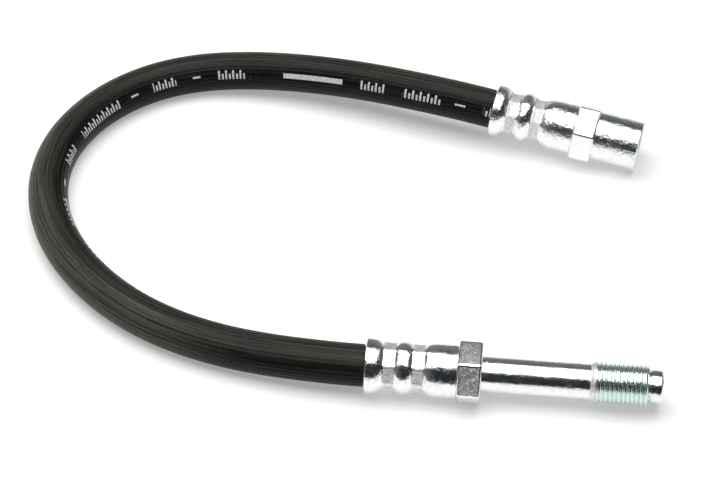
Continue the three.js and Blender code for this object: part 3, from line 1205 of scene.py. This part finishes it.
def add_camera(settings):
    place = Vector(CAMERA_PLACE) * MM
    target = Vector(CAMERA_TARGET) * MM
    deselect_all()
    bpy.ops.object.camera_add(location=place)
    camera = bpy.context.object
    camera.name = "photo_camera"
    camera.rotation_euler = (target - place).to_track_quat("-Z", "Y").to_euler()
    camera.data.lens = settings.lens
    camera.data.sensor_width = SENSOR_WIDTH
    camera.data.clip_start = NEAREST_VIEW
    camera.data.clip_end = FURTHEST_VIEW
    bpy.context.scene.camera = camera


def add_table(settings):
    """A pale sheet that is lit evenly far out. What mirrors it sees it end a little in front."""
    deselect_all()
    bpy.ops.mesh.primitive_plane_add(size=settings.table_size)
    table = bpy.context.object
    table.name = "table"
    material, tree, shader = new_material("table_top")
    shader.inputs["Roughness"].default_value = 0.7
    shader.inputs["Specular IOR Level"].default_value = 0.2
    coordinates = tree.nodes.new("ShaderNodeTexCoord").outputs["Object"]
    reach = vector_node(tree, "LENGTH", coordinates).outputs["Value"]
    mirrored = tree.nodes.new("ShaderNodeLightPath").outputs["Is Glossy Ray"]
    unlit = times(tree, mirrored, eased(tree, components(tree, coordinates)["Y"], *FRONT_EDGE))
    paper = ramp(tree, noise(tree, coordinates, 900.0, 3.0, 0.6), 0.3, 0.7, 0.96, 1.0)
    shade = mix_colour(tree, paper, BLACK, tuple(settings.table_colour))
    shade = mix_colour(tree, unlit, shade, UNLIT_TABLE)
    feed(tree, shader.inputs["Base Color"], shade)
    glow = eased(tree, reach, *GLOW_REACH, settings.table_glow, FAR_GLOW)
    fill = mix_colour(tree, glow, BLACK, GLOW_COLOUR)
    feed(tree, shader.inputs["Emission Color"], mix_colour(tree, unlit, fill, BLACK))
    shader.inputs["Emission Strength"].default_value = 1.0
    table.data.materials.append(material)


def add_softbox(settings):
    width, depth = SOFTBOX_SIZE
    deselect_all()
    bpy.ops.object.light_add(type="AREA", location=SOFTBOX_CENTRE)
    lamp = bpy.context.object
    lamp.name = "softbox"
    lamp.data.shape = "RECTANGLE"
    lamp.data.size = width
    lamp.data.size_y = depth
    lamp.data.energy = settings.softbox_light * math.pi * width * depth
    lamp.data.color = SOFTBOX_COLOUR


def add_room():
    """The dim room around the table: darker in front, with a patchy wall and a pale ceiling."""
    world = bpy.data.worlds.new("studio")
    bpy.context.scene.world = world
    world.use_nodes = True
    tree = world.node_tree
    direction = tree.nodes.new("ShaderNodeTexCoord").outputs["Generated"]
    parts = components(tree, direction)
    side, depth, height = parts["X"], parts["Y"], parts["Z"]
    patches = eased(tree, noise(tree, direction, 7.0, 3.0), 0.42, 0.62)
    dark, grey, low_wall, high_wall = (
        mix_colour(tree, patches, first, second)
        for first, second in (DARK_FRONT, GREY_FRONT, LOW_WALL, HIGH_WALL)
    )
    front = mix_colour(tree, eased(tree, side, 0.14, -0.08), dark, grey)
    front = mix_colour(tree, eased(tree, side, -0.14, -0.50), front, PINK_SIDE)
    back = mix_colour(tree, eased(tree, height, 0.38, 0.72), low_wall, high_wall)
    room = mix_colour(tree, eased(tree, depth, -0.1, 0.45), front, back)
    room = mix_colour(tree, eased(tree, height, 0.90, 0.99), room, CEILING)
    seen = tree.nodes.new("ShaderNodeLightPath").outputs["Is Camera Ray"]
    room = mix_colour(tree, seen, room, BACKDROP)
    feed(tree, tree.nodes["Background"].inputs["Color"], room)


# Operators

class BRAKEHOSE_OT_stage(bpy.types.Operator):
    """Set up the table, the light and the camera"""

    bl_idname = "brake_hose.stage"
    bl_label = "Stage"

    def execute(self, context):
        settings = context.scene.brake_hose_stage
        add_camera(settings)
        add_table(settings)
        add_softbox(settings)
        add_room()
        context.scene.view_settings.view_transform = "Standard"
        return {"FINISHED"}


class BRAKEHOSE_OT_hose(bpy.types.Operator):
    """Build the ribbed rubber hose along its route"""

    bl_idname = "brake_hose.hose"
    bl_label = "Hose"

    def execute(self, context):
        settings = context.scene.brake_hose_hose
        piece, stations = hose_mesh("rubber_hose")
        piece.data.materials.append(rubber_material(settings))
        make_active(piece)
        bpy.ops.object.shade_smooth_by_angle(angle=RUBBER_SMOOTH)
        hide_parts("hose")
        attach(piece, "root")
        path = [tuple(centre) for distance, centre in stations[::PATH_STRIDE]]
        if path[-1] != tuple(stations[-1][1]):
            path.append(tuple(stations[-1][1]))
        return {"FINISHED"}


class BRAKEHOSE_OT_female_end(bpy.types.Operator):
    """Build the female fitting: crimped shell, hexagon and threaded socket"""

    bl_idname = "brake_hose.female_end"
    bl_label = "Female end"

    def execute(self, context):
        settings = context.scene.brake_hose_fittings
        socket = settings.socket_radius / MM
        outline = [
            NECK, (SOCKET_START, socket, 0.0), (SOCKET_END - SOCKET_CHAMFER, socket, 0.12),
            (SOCKET_END, socket - SOCKET_CHAMFER, 0.1), (SOCKET_END, MOUTH_RADIUS, 0.1),
            (SOCKET_END - MOUTH_DEPTH, SOCKET_BORE, 0.0), (SOCKET_FLOOR, SOCKET_BORE, 0.0),
            (CONE_FLOOR, PASSAGE_RADIUS, 0.0),
        ]
        piece = fitting("female_fitting", outline, FEMALE_CRIMPS, FEMALE_ROLL)
        coil = thread_coil(
            "socket_thread", start=28.9, turns=12, pitch=1.0, root=4.2, crest=4.72, steps=72,
        )
        boolean(piece, coil, "DIFFERENCE")
        zinc = zinc_material("socket_zinc", settings, FEMALE_PLACE, FEMALE_CRIMPS, dents=0.00036)
        flats = flats_material(
            "bright_flats", FEMALE_PLACE, settings.bright_flats_colour, roughness=0.22, grain=0.2,
        )
        finish_fitting(piece, FEMALE_PLACE, FEMALE_ROLL, zinc, flats)
        return {"FINISHED"}


class BRAKEHOSE_OT_male_end(bpy.types.Operator):
    """Build the male fitting: crimped shell, hexagon, stem, thread and nose"""

    bl_idname = "brake_hose.male_end"
    bl_label = "Male end"

    def execute(self, context):
        settings = context.scene.brake_hose_fittings
        stem = settings.stem_radius / MM
        crest = settings.thread_radius / MM
        root = crest - THREAD_DEPTH
        (shoulder_start, start_drop), (shoulder_end, end_drop) = SHOULDER
        first_root, last_root = ROOT_SPAN
        groove_start, groove_end = GROOVE_SPAN
        nose_start, nose_bevel = NOSE_SPAN
        outline = [
            NECK, (STEM_START, NECK[1], 0.0), (STEM_START, stem, 0.0), (STEM_END, stem, 0.1),
            (shoulder_start, crest - start_drop, 0.1), (shoulder_end, crest - end_drop, 0.0),
            (first_root, root, 0.0), (last_root, root, 0.0), (groove_start, GROOVE_RADIUS, 0.05),
            (groove_end, GROOVE_RADIUS, 0.05), (nose_start, NOSE_RADIUS, 0.05),
            (nose_bevel, NOSE_RADIUS, 0.15), (NOSE_END, NOSE_TIP_RADIUS, 0.15),
            (NOSE_END, MOUTH_OF_PASSAGE, 0.1), (PASSAGE_END, PASSAGE_RADIUS, 0.0),
        ]
        piece = fitting("male_fitting", outline, MALE_CRIMPS, MALE_ROLL)
        pitch = settings.thread_pitch / MM
        coil = thread_coil(
            "stem_thread", start=54.5, turns=13, pitch=pitch, root=root, crest=crest, steps=96,
        )
        below = root - BLANK_SINK
        ends = (
            (BLANK_START, below), (BLANK_START, crest), (BLANK_TAPER, crest),
            (groove_start, root), (groove_start, below),
        )
        boolean(coil, turned("thread_blank", ends, BLANK_STEPS), "INTERSECT")
        boolean(piece, coil, "UNION")
        zinc = zinc_material(
            "stem_zinc", settings, MALE_PLACE, MALE_CRIMPS, dents=0.00016,
            dull_spans=(DULL_SHOULDER,), thread_span=THREADED_SPAN,
        )
        flats = flats_material(
            "mottled_flats", MALE_PLACE, settings.flats_colour, roughness=0.33, grain=1.0,
            # The uppermost flat's painted shade
            upper_flat_painted_shade=0.55,
        )
        finish_fitting(piece, MALE_PLACE, MALE_ROLL, zinc, flats)
        return {"FINISHED"}


class BRAKEHOSE_PT_sidebar(bpy.types.Panel):
    """Buttons and sizes for the brake hose"""

    bl_idname = "BRAKEHOSE_PT_sidebar"
    bl_label = "Brake hose"
    bl_space_type = "VIEW_3D"
    bl_region_type = "UI"
    bl_category = "Brake hose"

    def draw(self, context):
        scene = context.scene
        for title, settings, operators in (
            ("Stage", scene.brake_hose_stage, ("stage",)),
            ("Hose", scene.brake_hose_hose, ("hose",)),
            ("Fittings", scene.brake_hose_fittings, ("female_end", "male_end")),
        ):
            box = self.layout.box()
            box.label(text=title)
            for name in settings.__annotations__:
                box.prop(settings, name)
            for name in operators:
                box.operator("brake_hose." + name)


SETTINGS = (
    ("brake_hose_stage", StageSettings),
    ("brake_hose_hose", HoseSettings),
    ("brake_hose_fittings", FittingSettings),
)
CLASSES = (
    StageSettings, HoseSettings, FittingSettings,
    BRAKEHOSE_OT_stage, BRAKEHOSE_OT_hose, BRAKEHOSE_OT_female_end, BRAKEHOSE_OT_male_end,
    BRAKEHOSE_PT_sidebar,
)


def register():
    for each in CLASSES:
        bpy.utils.register_class(each)
    for name, group in SETTINGS:
        setattr(bpy.types.Scene, name, bpy.props.PointerProperty(type=group))


def unregister():
    for name, group in SETTINGS:
        delattr(bpy.types.Scene, name)
    for each in reversed(CLASSES):
        bpy.utils.unregister_class(each)


def main():
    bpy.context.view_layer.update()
    register()
    bpy.ops.brake_hose.stage()
    bpy.ops.brake_hose.hose()
    bpy.ops.brake_hose.female_end()
    bpy.ops.brake_hose.male_end()


if __name__ == "__main__":
    main()
